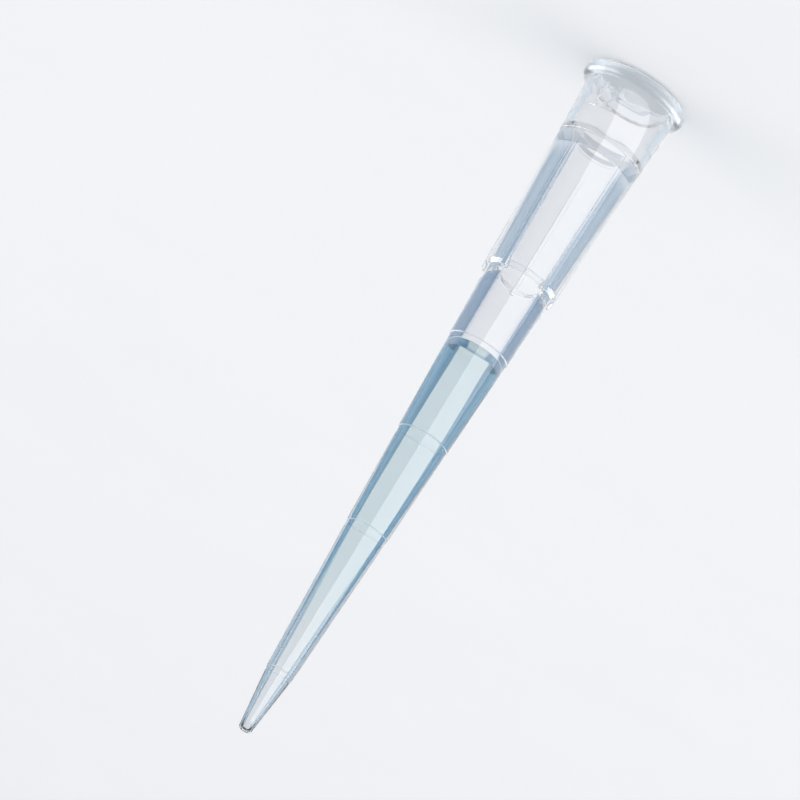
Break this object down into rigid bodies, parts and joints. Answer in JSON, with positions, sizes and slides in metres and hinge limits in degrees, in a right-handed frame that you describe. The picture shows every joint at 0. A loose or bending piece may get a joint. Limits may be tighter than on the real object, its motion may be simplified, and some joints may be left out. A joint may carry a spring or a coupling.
{
  "type": "pipette tip",
  "caption": "Clear tapered pipette tip with a flanged, ribbed collar, graduation rings and a charge of pale blue liquid inside.",
  "frame": {"origin": "centre of the rim face, on the tip's axis, where the tip stands on its wide rim", "axes": "+Z along the tip's axis, from the rim to the point; one of the ribs lies on +Y"},
  "size_m": [0.0076, 0.0076, 0.053],
  "materials": {
    "clear_plastic": "clear polypropylene, smooth moulded gloss with a faint milky haze",
    "blue_liquid": "clear watery liquid with a pale blue tint"
  },
  "bodies": {
    "root": {"tip": "clear_plastic", "liquid": "blue_liquid"}
  },
  "joints": []
}
